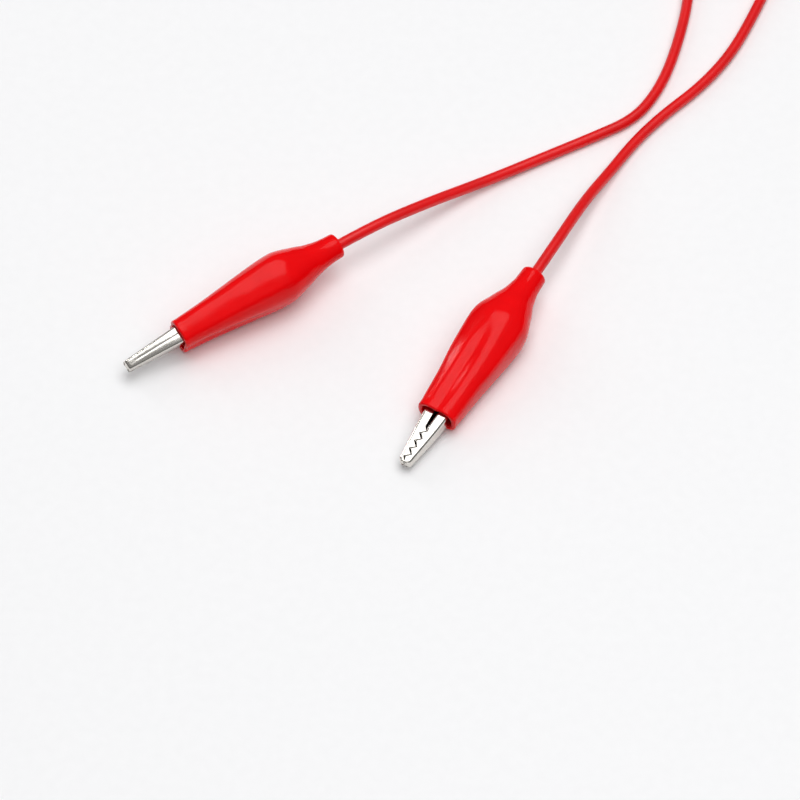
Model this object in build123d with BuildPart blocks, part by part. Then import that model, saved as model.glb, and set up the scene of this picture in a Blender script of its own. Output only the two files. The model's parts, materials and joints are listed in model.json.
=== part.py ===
"""Alligator clip test lead: one soft insulated wire with a booted spring clip on each end.

Each clip is built once in its own frame and laid down twice:
X runs towards the nose, Y is the way the jaws open, Z is the hinge axis, and the hinge is at 0, 0, 0.
"""

from build123d import *
import os
from math import asin, cos, degrees, pi, radians, sin, sqrt, tan

os.makedirs("parts", exist_ok=True)

# ---------------------------------------------------------------- driving sizes, in mm

# Wire
wire_diameter = 2.0
conductor_diameter = 0.9

# Jaws: nickel-plated steel sheet, pressed into two toothed channels
sheet = 0.4
nose_reach = 17.5
nose_half_height = 1.15
mouth_half_height = 2.3
waist_half_height = 2.5
lever_half_height = 3.75
flange_depth = 0.85
nose_half_width = 1.0
hinge_half_width = 1.5
lever_half_width = 1.85
nesting_clearance = 0.05
nose_gap = 0.12

# Teeth and the plain slot behind them
tooth_pitch = 1.75
tooth_height = 0.95
tooth_lean = 0.42
tooth_pairs = 4
tooth_gap = 0.42
tooth_margin = 0.9
slot_length = 5.2
slot_front_width = 0.7
slot_back_width = 1.1
slot_point = 0.6

# Rivet, and the spring wound on it
rivet_radius = 0.75
rivet_head_overlap = 0.4
rivet_head_height = 0.32
rivet_seat_clearance = 0.01
hinge_clearance = 0.05
ear_rim = 0.8
head_clearance = 0.03
spring_wire = 0.4
spring_bore_clearance = 0.11
spring_pitch = 0.43
spring_full_turns = 2
spring_leg_setback = 4.8
spring_leg_clearance = 0.04

# Tail of the fixed jaw: a strip that leads back to a crimped barrel round the wire
tail_step = 0.6
strip_length = 4.2
strip_end_half_width = 0.8
barrel_length = 3.4
barrel_seam_degrees = 50.0
barrel_clearance = 0.02
barrel_to_neck = 0.9
insulation_past_barrel = 0.4
conductor_short_of_lever = 1.3
solder_length = 2.6

# Boot: soft PVC sleeve
boot_length = 34.0
boot_wall = 0.8
mouth_ahead_of_hinge = 6.7
mouth_height = 7.4
mouth_width = 5.5
hump_height = 10.8
hump_width = 9.6
hump_behind_lever = 2.0
neck_diameter = 4.6
neck_length = 5.4
neck_clearance = 0.05
neck_edge_radius = 0.35

# Where each clip lies: the end of its neck on the table, the heading of its nose and its roll.
# A roll of 0 puts the hinge axis upright, and 90 puts the moving jaw on top.
clip_spots = {
    "front": {"neck_end": (35.67, 15.34), "nose_heading": 238.4, "roll": 0.0},
    "left": {"neck_end": (0.47, 21.54), "nose_heading": 213.3, "roll": 70.0},
}

# Coil that holds the rest of the wire, and its tie
coil_centre = (76.9, 103.4)
coil_mean_radius = 10.0
coil_wires_across = 2
coil_wires_high = 2
coil_corner = 0.9
tie_thickness = 0.4
tie_width = 2.4
tie_clearance = 0.02
tie_bearing = 48.0

# Routes of the wire on the table, from each clip to the coil, chosen by hand
wire_straight_past_neck = 5.2
front_route = [
    (44.9, 33.3, 4.2),
    (50.0, 42.3, 1.5),
    (55.0, 50.0, 1.0),
    (60.6, 56.3, 1.0),
    (67.2, 62.4, 1.0),
    (73.1, 70.0, 1.0),
    (77.6, 79.0, 1.0),
    (82.0, 89.6, 1.1),
    (87.2, 99.6, 1.4),
]
left_route = [
    (16.3, 32.6, 4.7),
    (27.0, 39.9, 1.6),
    (37.2, 45.6, 1.0),
    (47.1, 50.7, 1.0),
    (54.9, 55.0, 1.0),
    (59.7, 62.0, 1.0),
    (63.2, 71.5, 1.0),
    (66.5, 86.0, 1.1),
    (66.4, 100.5, 3.3),
]

# ---------------------------------------------------------------- sizes worked out from those above

wire_radius = wire_diameter / 2
room = 20.0

# Distances from the hinge, forward to the boot's mouth and back to its neck and what ends ahead of it
mouth_x = mouth_ahead_of_hinge
neck_end_x = mouth_x - boot_length
neck_start_x = neck_end_x + neck_length
barrel_back = -neck_start_x - barrel_to_neck
barrel_front = barrel_back - barrel_length
tail_lever_reach = barrel_front - strip_length
lever_reach = tail_lever_reach - tail_step
insulation_reach = barrel_front - insulation_past_barrel
conductor_reach = tail_lever_reach + conductor_short_of_lever
spring_leg_reach = lever_reach - spring_leg_setback

outer_hinge_half_width = hinge_half_width + nesting_clearance + sheet
outer_lever_half_width = lever_half_width + nesting_clearance + sheet
teeth_front = nose_reach - tooth_margin
teeth_back = teeth_front - tooth_pairs * tooth_pitch + tooth_lean * tooth_pitch
slot_back = teeth_back - slot_length
barrel_radius = wire_radius + barrel_clearance + sheet
ear_radius = rivet_radius + ear_rim
rivet_head_radius = rivet_radius + rivet_head_overlap
spring_mean_radius = rivet_radius + spring_bore_clearance + spring_wire / 2
hump_distance = mouth_x + lever_reach + hump_behind_lever
coil_breadth = coil_wires_across * wire_diameter
coil_height = coil_wires_high * wire_diameter


def midway(start, end, share):
    """Value that lies a share of the way from start to end."""
    return start + (end - start) * share


# ---------------------------------------------------------------- jaws


def tooth_line(side):
    """Edge of a jaw from nose to slot, with side +1 for the moving jaw and -1 for the tail jaw."""
    lift = side * tooth_gap / 2
    points = [(nose_reach, side * nose_gap / 2)]
    for tooth in range(tooth_pairs):
        valley_x = teeth_front - tooth * tooth_pitch
        crest_x = valley_x - tooth_lean * tooth_pitch
        points.append((valley_x, -tooth_height / 2 + lift))
        points.append((crest_x, tooth_height / 2 + lift))
    return points


def gripping_edge(side):
    """Whole lower edge of a jaw from the nose back to its ear: teeth, then slot."""
    points = tooth_line(side)
    points.append((teeth_back - slot_point, side * slot_front_width / 2))
    points.append((slot_back + slot_point, side * slot_back_width / 2))
    points.append((slot_back, side * nose_gap / 2))
    points.append((0, side * nose_gap / 2))
    return points


def back_curve(side, reach, inset=0.0):
    """Points along the back of a jaw from nose to lever end, or of the room one inset inside it."""
    return [
        (nose_reach, side * (nose_half_height - inset)),
        (mouth_x, side * (mouth_half_height - inset)),
        (0, side * (waist_half_height - inset)),
        (-reach, side * (lever_half_height - inset)),
    ]


def flange_curve(side, hinge_width, lever_width, reach, inset=0.0):
    """Points along one flange seen from above, from nose to lever end."""
    return [
        (nose_reach, side * (nose_half_width - inset)),
        (0, side * (hinge_width - inset)),
        (-reach, side * (lever_width - inset)),
    ]


def channel_void(side, hinge_width, lever_width, reach):
    """Room inside a jaw's channel, one sheet thickness in from its back, flanges and nose."""
    with BuildPart() as void:
        with BuildSketch(Plane.XY):
            with BuildLine():
                back = Spline(*back_curve(side, reach, sheet))
                Polyline(back @ 1, (-reach, -side * room), (nose_reach, -side * room), back @ 0)
            make_face()
        extrude(amount=room, both=True)
        with BuildSketch(Plane.XZ):
            with BuildLine():
                near = Spline(*flange_curve(-1, hinge_width, lever_width, reach, sheet))
                far = Spline(*flange_curve(1, hinge_width, lever_width, reach, sheet))
                Line(near @ 0, far @ 0)
                Line(near @ 1, far @ 1)
            make_face()
        extrude(amount=room, both=True, mode=Mode.INTERSECT)
        with BuildSketch(Plane.YZ.offset(-room)):
            Rectangle(2 * room, 2 * room)
        extrude(amount=room + nose_reach - sheet, mode=Mode.INTERSECT)
    return void.part


def back_bends(part, side):
    """Long bends between the back of a channel and its two flanges."""
    backs = part.faces().filter_by(lambda face: side * face.normal_at().Y > 0.9)
    return backs.edges().filter_by(lambda edge: abs((edge % 0.5).X) > 0.9 and abs(edge.center().Z) > sheet)


moving_void = channel_void(1, outer_hinge_half_width, outer_lever_half_width, lever_reach)
with BuildPart() as moving_jaw:
    with BuildSketch(Plane.XY):
        with BuildLine():
            back = Spline(*back_curve(1, lever_reach))
            Polyline(
                back @ 0,
                *gripping_edge(1),
                (-ear_radius, 0.5 * waist_half_height),
                (-lever_reach, lever_half_height - flange_depth),
                back @ 1,
            )
        make_face()
        Circle(ear_radius)
        Circle(rivet_radius + hinge_clearance, mode=Mode.SUBTRACT)
    extrude(amount=room, both=True)
    with BuildSketch(Plane.XZ):
        with BuildLine():
            near = Spline(*flange_curve(-1, outer_hinge_half_width, outer_lever_half_width, lever_reach))
            far = Spline(*flange_curve(1, outer_hinge_half_width, outer_lever_half_width, lever_reach))
            Line(near @ 0, far @ 0)
            Line(near @ 1, far @ 1)
        make_face()
    extrude(amount=room, both=True, mode=Mode.INTERSECT)
    fillet(back_bends(moving_jaw.part, 1), radius=sheet)
    add(moving_void, mode=Mode.SUBTRACT)

tail_void = channel_void(-1, hinge_half_width, lever_half_width, tail_lever_reach)
with BuildPart() as tail_jaw:
    with BuildSketch(Plane.XY):
        with BuildLine():
            back = Spline(*back_curve(-1, tail_lever_reach))
            Polyline(
                back @ 0,
                *gripping_edge(-1),
                (-ear_radius, -0.5 * waist_half_height),
                (-tail_lever_reach, flange_depth - lever_half_height),
                back @ 1,
            )
        make_face()
        Circle(ear_radius)
        Circle(rivet_radius + rivet_seat_clearance, mode=Mode.SUBTRACT)
    extrude(amount=room, both=True)
    with BuildSketch(Plane.XZ):
        with BuildLine():
            near = Spline(*flange_curve(-1, hinge_half_width, lever_half_width, tail_lever_reach))
            far = Spline(*flange_curve(1, hinge_half_width, lever_half_width, tail_lever_reach))
            Line(near @ 0, far @ 0)
            Line(near @ 1, far @ 1)
        make_face()
    extrude(amount=room, both=True, mode=Mode.INTERSECT)
    fillet(back_bends(tail_jaw.part, -1), radius=sheet)
    add(tail_void, mode=Mode.SUBTRACT)
    # Strip that leads from the lever to the barrel on the clip's axis
    with BuildSketch(Plane.XY):
        with BuildLine():
            Polyline(
                (sheet - tail_lever_reach, -lever_half_height + 0.5 * sheet),
                (sheet - tail_lever_reach, -lever_half_height + sheet),
                (-tail_lever_reach, sheet - lever_half_height),
                (-barrel_front, sheet - barrel_radius),
                (-barrel_front - 2 * sheet, sheet - barrel_radius),
                (-barrel_front - 2 * sheet, -barrel_radius),
                (-barrel_front, -barrel_radius),
                (-tail_lever_reach, -lever_half_height),
                close=True,
            )
        make_face()
    extrude(amount=strip_end_half_width, both=True)
    # Crimped barrel, with its seam on the open side
    with BuildSketch(Plane.YZ.offset(-barrel_back)):
        Circle(barrel_radius)
        Circle(wire_radius + barrel_clearance, mode=Mode.SUBTRACT)
        with BuildLine():
            seam_reach = 2 * barrel_radius
            seam_half = seam_reach * tan(radians(barrel_seam_degrees / 2))
            Polyline((0, 0), (seam_reach, seam_half), (seam_reach, -seam_half), close=True)
        make_face(mode=Mode.SUBTRACT)
    extrude(amount=barrel_length)

# ---------------------------------------------------------------- rivet and spring

head_seat = outer_hinge_half_width + head_clearance
with BuildPart() as pivot_rivet:
    with BuildSketch(Plane.XY.offset(-head_seat)):
        Circle(rivet_radius)
    extrude(amount=2 * head_seat)
    with BuildSketch(Plane.XY.offset(head_seat)):
        Circle(rivet_head_radius)
    extrude(amount=rivet_head_height)
    with BuildSketch(Plane.XY.offset(-head_seat)):
        Circle(rivet_head_radius)
    extrude(amount=-rivet_head_height)
    fillet(pivot_rivet.faces().sort_by(Axis.Z)[0].edges(), radius=0.6 * rivet_head_height)
    fillet(pivot_rivet.faces().sort_by(Axis.Z)[-1].edges(), radius=0.6 * rivet_head_height)

# Each leg leaves the coil at a tangent and ends just under the inner face of its lever
leg_line = Line((-spring_leg_reach, 0), (-spring_leg_reach, room))
lever_faces = [Spline(*back_curve(1, reach, sheet)) for reach in (lever_reach, tail_lever_reach)]
lever_face_height = min(face.intersect(leg_line)[0].Y for face in lever_faces)
leg_end_height = lever_face_height - spring_wire / 2 - spring_leg_clearance
leg_centre_reach = sqrt(spring_leg_reach**2 + leg_end_height**2)
leg_slope = asin(leg_end_height / leg_centre_reach) - asin(spring_mean_radius / leg_centre_reach)
leg_start = 90 - degrees(leg_slope)
leg_length = sqrt(leg_centre_reach**2 - spring_mean_radius**2)
coil_angle = 2 * leg_start + 360 * spring_full_turns
winding_height = spring_pitch * coil_angle / 360


def flat_direction(direction):
    """The same heading square to the hinge axis, so that a leg stays between its lever's flanges."""
    return Vector(direction.X, direction.Y, 0).normalized()


with BuildPart() as torsion_spring:
    with BuildLine() as spring_path:
        winding = Helix(
            pitch=spring_pitch,
            height=winding_height,
            radius=spring_mean_radius,
            center=(0, 0, -winding_height / 2),
        )
        first_leg = Line(winding @ 0, (winding @ 0) - flat_direction(winding % 0) * leg_length)
        Line(winding @ 1, (winding @ 1) + flat_direction(winding % 1) * leg_length)
    with BuildSketch(Plane(origin=first_leg @ 1, z_dir=-(first_leg % 1))):
        Circle(spring_wire / 2)
    sweep(path=spring_path.wires()[0])
spring_solid = Rot(0, 0, -leg_start) * torsion_spring.part

# ---------------------------------------------------------------- wire end inside the boot

conductor_radius = conductor_diameter / 2
strip_slope = (lever_half_height - barrel_radius) / strip_length
strip_lean = sqrt(1 + strip_slope**2)


def above_strip(reach, height):
    """Point at a height over the inner face of the tail's strip."""
    face = sheet - barrel_radius - strip_slope * (barrel_front - reach)
    return (-reach, face + height * strip_lean)


with BuildPart() as bare_conductor:
    with BuildLine() as conductor_path:
        FilletPolyline(
            (-insulation_reach, 0),
            (-insulation_reach + 0.5 * conductor_diameter, 0),
            above_strip(midway(insulation_reach, conductor_reach, 0.55), conductor_radius),
            above_strip(conductor_reach, conductor_radius),
            radius=0.3 * conductor_diameter,
        )
    with BuildSketch(Plane.YZ.offset(-insulation_reach)):
        Circle(conductor_radius)
    sweep(path=conductor_path.wires()[0])

solder_middle = conductor_reach + 0.35 * solder_length
with BuildPart() as solder_joint:
    solder_seat = above_strip(solder_middle, 0)
    solder_tilt = degrees(asin(strip_slope / strip_lean))
    solder_plane = Plane(origin=(*solder_seat, 0), z_dir=(0, 0, 1)).rotated((0, 0, -solder_tilt))
    with BuildSketch(solder_plane):
        Ellipse(solder_length / 2, conductor_diameter * 1.15)
        with Locations((0, -conductor_diameter)):
            Rectangle(2 * solder_length, 2 * conductor_diameter, mode=Mode.SUBTRACT)
    extrude(amount=strip_end_half_width, both=True)
    fillet(solder_joint.edges().filter_by(GeomType.ELLIPSE), radius=0.3)
    add(bare_conductor.part, mode=Mode.SUBTRACT)
    add(tail_jaw.part, mode=Mode.SUBTRACT)

# ---------------------------------------------------------------- boot

# Distance behind the mouth, height, width, and how square the section is (2 is an ellipse)
boot_rings = [
    (0.0, mouth_height, mouth_width, 3.0),
    (
        0.37 * hump_distance,
        midway(mouth_height, hump_height, 0.33),
        midway(mouth_width, hump_width, 0.34),
        2.8,
    ),
    (
        0.7 * hump_distance,
        midway(mouth_height, hump_height, 0.76),
        midway(mouth_width, hump_width, 0.76),
        2.5,
    ),
    (hump_distance, hump_height, hump_width, 2.3),
    (
        midway(hump_distance, boot_length - neck_length, 0.63),
        midway(neck_diameter, hump_height, 0.54),
        midway(neck_diameter, hump_width, 0.54),
        2.1,
    ),
    (boot_length - neck_length, neck_diameter, neck_diameter, 2.0),
]


def boot_ring(distance, height, width, squareness):
    """Closed section across the boot, between an ellipse and a rounded oblong."""
    corners = 24
    points = []
    for corner in range(corners):
        turn = 2 * pi * corner / corners
        reach = (abs(cos(turn)) ** squareness + abs(sin(turn)) ** squareness) ** (-1 / squareness)
        points.append((height / 2 * reach * cos(turn), width / 2 * reach * sin(turn)))
    with BuildSketch(Plane.YZ.offset(mouth_x - distance)) as ring:
        with BuildLine():
            Spline(*points, periodic=True)
        make_face()
    return ring.sketch


boot_outside = [boot_ring(*ring) for ring in boot_rings]
boot_inside = [
    boot_ring(distance, height - 2 * boot_wall, width - 2 * boot_wall, squareness)
    for distance, height, width, squareness in boot_rings
]
with BuildPart() as boot:
    loft(boot_outside)
    extrude(boot_outside[-1], amount=-neck_length)
    fillet(boot.faces().sort_by(Axis.X)[0].edges(), radius=neck_edge_radius)
    loft(boot_inside, mode=Mode.SUBTRACT)
    with BuildSketch(Plane.YZ.offset(neck_end_x)):
        Circle(wire_radius + neck_clearance)
    extrude(amount=neck_length + 1, mode=Mode.SUBTRACT)

# ---------------------------------------------------------------- lay the two clips on the table


def half_height(ring, roll):
    """How far a boot section reaches down from the clip's axis when the clip is rolled."""
    distance, height, width, squareness = ring
    power = squareness / (squareness - 1)
    upright = height / 2 * sin(radians(roll))
    across = width / 2 * cos(radians(roll))
    return (upright**power + across**power) ** (1 / power)


def clip_plane(neck_end, nose_heading, roll):
    """Frame of a clip that rests on its boot's hump and on the lower rim of its mouth."""
    drop = half_height(boot_rings[3], roll) - half_height(boot_rings[0], roll)
    pitch = asin(drop / hump_distance)
    heading = radians(nose_heading)
    to_nose = Vector(cos(pitch) * cos(heading), cos(pitch) * sin(heading), -sin(pitch))
    upright = (Vector(0, 0, 1) - to_nose * to_nose.Z).normalized()
    sideways = upright.cross(to_nose)
    hinge_axis = upright * cos(radians(roll)) - sideways * sin(radians(roll))
    hinge = Vector(*neck_end, 0) - to_nose * neck_end_x
    plane = Plane(origin=hinge, x_dir=to_nose, z_dir=hinge_axis)
    resting = boot.part.moved(plane.location)
    lift = -resting.bounding_box().min.Z
    return Plane(origin=hinge + Vector(0, 0, lift), x_dir=to_nose, z_dir=hinge_axis)


clip_pieces = {
    "moving_jaw": moving_jaw.part,
    "tail_jaw": tail_jaw.part,
    "pivot_rivet": pivot_rivet.part,
    "torsion_spring": spring_solid,
    "bare_conductor": bare_conductor.part,
    "solder_joint": solder_joint.part,
    "boot": boot.part,
}
clip_planes = {name: clip_plane(**spot) for name, spot in clip_spots.items()}

for clip_name, plane in clip_planes.items():
    for piece_name, piece in clip_pieces.items():
        laid = piece.moved(plane.location)
        laid.label = f"{clip_name}_{piece_name}"
        export_step(laid, f"parts/{laid.label}.step")
    hinge = plane.origin / 1000
    axis = plane.z_dir
    print(f"{clip_name} hinge at ({hinge.X:.6f}, {hinge.Y:.6f}, {hinge.Z:.6f}) m")
    print(f"{clip_name} hinge axis ({axis.X:.6f}, {axis.Y:.6f}, {axis.Z:.6f})")

# ---------------------------------------------------------------- coil and its tie

coil_bottom = tie_thickness
coil_middle = coil_bottom + coil_height / 2
with BuildPart() as wire_coil:
    with BuildSketch(Plane.XZ):
        with Locations((coil_mean_radius, coil_middle)):
            RectangleRounded(coil_breadth, coil_height, coil_corner)
    revolve(axis=Axis.Z)
coil_solid = wire_coil.part.moved(Location((*coil_centre, 0)))
coil_solid.label = "wire_coil"
export_step(coil_solid, "parts/wire_coil.step")

# The coil's inner wall curves into the tie's opening by the rise of an arc as wide as the tie
coil_inner_radius = coil_mean_radius - coil_breadth / 2
arc_rise = coil_inner_radius - sqrt(coil_inner_radius**2 - (tie_width / 2) ** 2)
tie_breadth = coil_breadth + 2 * (arc_rise + tie_clearance)
bearing = Vector(cos(radians(tie_bearing)), sin(radians(tie_bearing)), 0)
tie_spot = Vector(*coil_centre, 0) + bearing * coil_mean_radius
with BuildPart() as coil_tie:
    with BuildSketch(Plane(origin=tie_spot, x_dir=bearing, z_dir=bearing.cross(Vector(0, 0, 1)))):
        with Locations((0, coil_middle)):
            outer_breadth = tie_breadth + 2 * tie_thickness
            RectangleRounded(outer_breadth, coil_height + 2 * tie_thickness, coil_corner)
            Rectangle(tie_breadth, coil_height, mode=Mode.SUBTRACT)
    extrude(amount=tie_width / 2, both=True)
coil_tie.part.label = "coil_tie"
export_step(coil_tie.part, "parts/coil_tie.step")

# ---------------------------------------------------------------- wire runs


def corner_radii(points):
    """Radius of each corner: as large as its two runs allow."""
    radii = []
    for before, corner, after in zip(points, points[1:], points[2:]):
        turn = (corner - before).get_angle(after - corner)
        shorter = min((corner - before).length, (after - corner).length)
        radii.append(0.45 * shorter / tan(radians(turn / 2)))
    return radii


for clip_name, route in {"front": front_route, "left": left_route}.items():
    plane = clip_planes[clip_name]
    stripped_end = plane.from_local_coords(Vector(-insulation_reach, 0, 0))
    past_neck = plane.from_local_coords(Vector(neck_end_x - wire_straight_past_neck, 0, 0))
    points = [stripped_end, past_neck] + [Vector(*point) for point in route]
    radii = corner_radii(points)
    with BuildPart() as wire:
        with BuildLine() as wire_path:
            FilletPolyline(*points, radius=radii)
        with BuildSketch(Plane(origin=points[0], z_dir=points[1] - points[0])):
            Circle(wire_radius)
        sweep(path=wire_path.wires()[0])
        whole_volume = wire.part.volume
        add(coil_solid, mode=Mode.SUBTRACT)
    length = wire_path.wires()[0].length
    wire.part.label = f"{clip_name}_wire"
    export_step(wire.part, f"parts/{clip_name}_wire.step")
    print(f"{clip_name} wire starts {[tuple(round(c, 2) for c in point) for point in points[:2]]}")
    print(f"{clip_name} wire is {length:.1f} mm, radii {[round(radius, 1) for radius in radii]}")
    even_volume = pi * wire_radius**2 * length
    print(f"{clip_name} wire volume over section times length {whole_volume / even_volume:.4f}")
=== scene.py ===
import json
from math import cos, pi, radians, sin, sqrt

import bpy
import numpy as np
from mathutils import Matrix, Vector, noise


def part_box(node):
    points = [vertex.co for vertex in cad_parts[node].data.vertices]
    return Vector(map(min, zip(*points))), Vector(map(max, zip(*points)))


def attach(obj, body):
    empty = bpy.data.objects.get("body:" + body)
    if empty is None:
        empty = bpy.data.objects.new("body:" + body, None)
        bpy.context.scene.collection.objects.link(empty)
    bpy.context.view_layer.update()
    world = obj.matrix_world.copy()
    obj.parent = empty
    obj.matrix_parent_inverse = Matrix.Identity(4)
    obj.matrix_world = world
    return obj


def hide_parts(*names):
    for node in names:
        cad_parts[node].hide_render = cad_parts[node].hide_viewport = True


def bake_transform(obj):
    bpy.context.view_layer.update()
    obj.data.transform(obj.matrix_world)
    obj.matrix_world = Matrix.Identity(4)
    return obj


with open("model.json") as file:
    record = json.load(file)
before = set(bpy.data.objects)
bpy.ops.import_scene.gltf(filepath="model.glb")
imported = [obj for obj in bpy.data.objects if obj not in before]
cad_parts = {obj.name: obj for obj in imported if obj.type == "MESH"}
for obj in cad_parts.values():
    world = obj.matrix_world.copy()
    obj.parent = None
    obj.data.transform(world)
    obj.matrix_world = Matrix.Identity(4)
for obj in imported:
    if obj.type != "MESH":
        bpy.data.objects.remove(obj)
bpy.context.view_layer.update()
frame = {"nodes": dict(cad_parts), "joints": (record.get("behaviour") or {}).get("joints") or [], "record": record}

# ---------------------------------------------------------------- sizes in mm, in each clip's own frame
# X runs to the nose, Y is the way the jaws open, Z is the hinge axis, and the hinge is at 0, 0, 0.

MM = 0.001
CLIPS = ("front", "left")

WIRE_RADIUS = 1.0
STRAND_RADIUS = 0.15
STRANDS = 7
STRAND_LAY = 5.0

SHEET = 0.4
EDGE_ROUND = 0.05
BEND_RADIUS = 0.5
NOSE_REACH = 17.5
NOSE_HALF_HEIGHT = 1.15
MOUTH_HALF_HEIGHT = 2.3
WAIST_HALF_HEIGHT = 2.5
LEVER_HALF_HEIGHT = 3.75
LEVER_REACH = 12.8
TAIL_LEVER_REACH = 13.4
FLANGE_DEPTH = 0.85
NOSE_HALF_WIDTH = 1.0
HINGE_HALF_WIDTH = 1.5
LEVER_HALF_WIDTH = 1.85
NESTING = 0.45
NOSE_GAP = 0.12
TOOTH_PITCH = 1.75
TOOTH_HEIGHT = 0.95
TOOTH_LEAN = 0.42
TOOTH_PAIRS = 4
TOOTH_GAP = 0.42
TOOTH_MARGIN = 0.9
SLOT_LENGTH = 5.2
SLOT_FRONT_WIDTH = 0.7
SLOT_BACK_WIDTH = 1.1
SLOT_POINT = 0.6
EAR_RADIUS = 1.55
RIVET_HOLE_RADIUS = 0.8
ROW_SPACING = 0.4
RIB_DEPTH = 0.02
RIB_HALF_WIDTH = 0.12

STRIP_HALF_WIDTH = 0.8
BARREL_FRONT = 17.6
BARREL_BACK = 21.0
BARREL_RADIUS = 1.42
BARREL_OPEN_DEGREES = 50.0

SPRING_WIRE_RADIUS = 0.2
SPRING_RADIUS = 1.06
SPRING_PITCH = 0.43
SPRING_TURNS = 2
SPRING_LEG_REACH = 8.0
SPRING_LEG_HEIGHT = 2.55

INSULATION_REACH = 17.2
CONDUCTOR_RADIUS = 0.45
CONDUCTOR_REACH = 14.7

MOUTH_X = 6.7
BOOT_LENGTH = 34.0
BOOT_WALL = 0.8
NECK_LENGTH = 5.4
NECK_EDGE = 0.5
NECK_BORE_CLEARANCE = 0.04
RIM_RADIUS = 0.22
MOUTH_FLARE = 0.1
FLARE_LENGTH = 1.2
RIDGE_HEIGHT = 0.24
RIDGE_SPREAD = 0.2
CREASE_DEPTH = 0.42
CREASE_SPREAD = 0.28
UNEVENNESS = 0.07
BOOT_POINTS_AROUND = 120
# Distance behind the mouth, height, width, and how square the section is (2 is an ellipse)
BOOT_SECTIONS = [
    (0.0, 7.4, 5.5, 3.0),
    (8.0, 8.52, 6.9, 2.8),
    (15.0, 9.98, 8.6, 2.5),
    (21.5, 10.8, 9.6, 2.3),
    (25.6, 8.5, 7.8, 2.1),
    (28.6, 6.1, 5.9, 2.0),
    (31.4, 4.9, 4.9, 2.0),
    (34.0, 4.65, 4.65, 2.0),
]

# The wire lies on the table along these points, from each clip to the coil
STRAIGHT_PAST_NECK = 5.2
FRONT_ROUTE = [
    (44.9, 33.3, 4.2),
    (50.0, 42.3, 1.5),
    (55.0, 50.0, 1.0),
    (60.6, 56.3, 1.0),
    (67.2, 62.4, 1.0),
    (73.1, 70.0, 1.0),
    (77.6, 79.0, 1.0),
    (82.0, 89.6, 1.1),
]
LEFT_ROUTE = [
    (16.3, 32.6, 4.7),
    (27.0, 39.9, 1.6),
    (37.2, 45.6, 1.0),
    (47.1, 50.7, 1.0),
    (54.9, 55.0, 1.0),
    (59.7, 62.0, 1.0),
    (63.2, 71.5, 1.0),
    (66.5, 86.0, 1.1),
]
COIL_POINTS_PER_TURN = 24
COIL_START_DEGREES = -20.0
COIL_END_DEGREES = 193.0 + 3 * 360.0

TIE_THICKNESS = 0.36
TIE_LAP = 0.4
TIE_WIDTH = 2.4


def clip_matrix(clip):
    """Takes millimetres in a clip's own frame to the shared frame."""
    joint = next(j for j in frame["joints"] if j["name"] == f"{clip}_jaw_hinge")
    grip = next(m for m in frame["record"]["mounts"] if m["name"] == f"{clip}_jaw_grip")
    hinge_axis = Vector(joint["axis"]).normalized()
    to_nose = Vector(grip["axis"])
    to_nose = (to_nose - hinge_axis * to_nose.dot(hinge_axis)).normalized()
    opening = hinge_axis.cross(to_nose)
    turn = Matrix((to_nose, opening, hinge_axis)).transposed().to_4x4()
    return Matrix.Translation(Vector(joint["pos_m"])) @ turn @ Matrix.Scale(MM, 4)


CLIP_MATRIX = {clip: clip_matrix(clip) for clip in CLIPS}

# ---------------------------------------------------------------- materials


def colour(code):
    """Linear colour of an sRGB hex code."""
    channels = [int(code[i : i + 2], 16) / 255 for i in (1, 3, 5)]
    return [c / 12.92 if c <= 0.04045 else ((c + 0.055) / 1.055) ** 2.4 for c in channels] + [1.0]


def add(tree, kind, inputs=None, **settings):
    """Adds a node with its settings, and gives its inputs their values or links."""
    node = tree.nodes.new(kind)
    for name, value in settings.items():
        setattr(node, name, value)
    for socket, value in (inputs or {}).items():
        if isinstance(value, bpy.types.NodeSocket):
            tree.links.new(value, node.inputs[socket])
        else:
            node.inputs[socket].default_value = value
    return node


def new_material(name):
    """An empty material and its node tree."""
    material = bpy.data.materials.new(name)
    material.use_nodes = True
    material.node_tree.nodes.clear()
    return material, material.node_tree


def end_material(tree, shader):
    add(tree, "ShaderNodeOutputMaterial", {"Surface": shader.outputs["BSDF"]})


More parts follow.
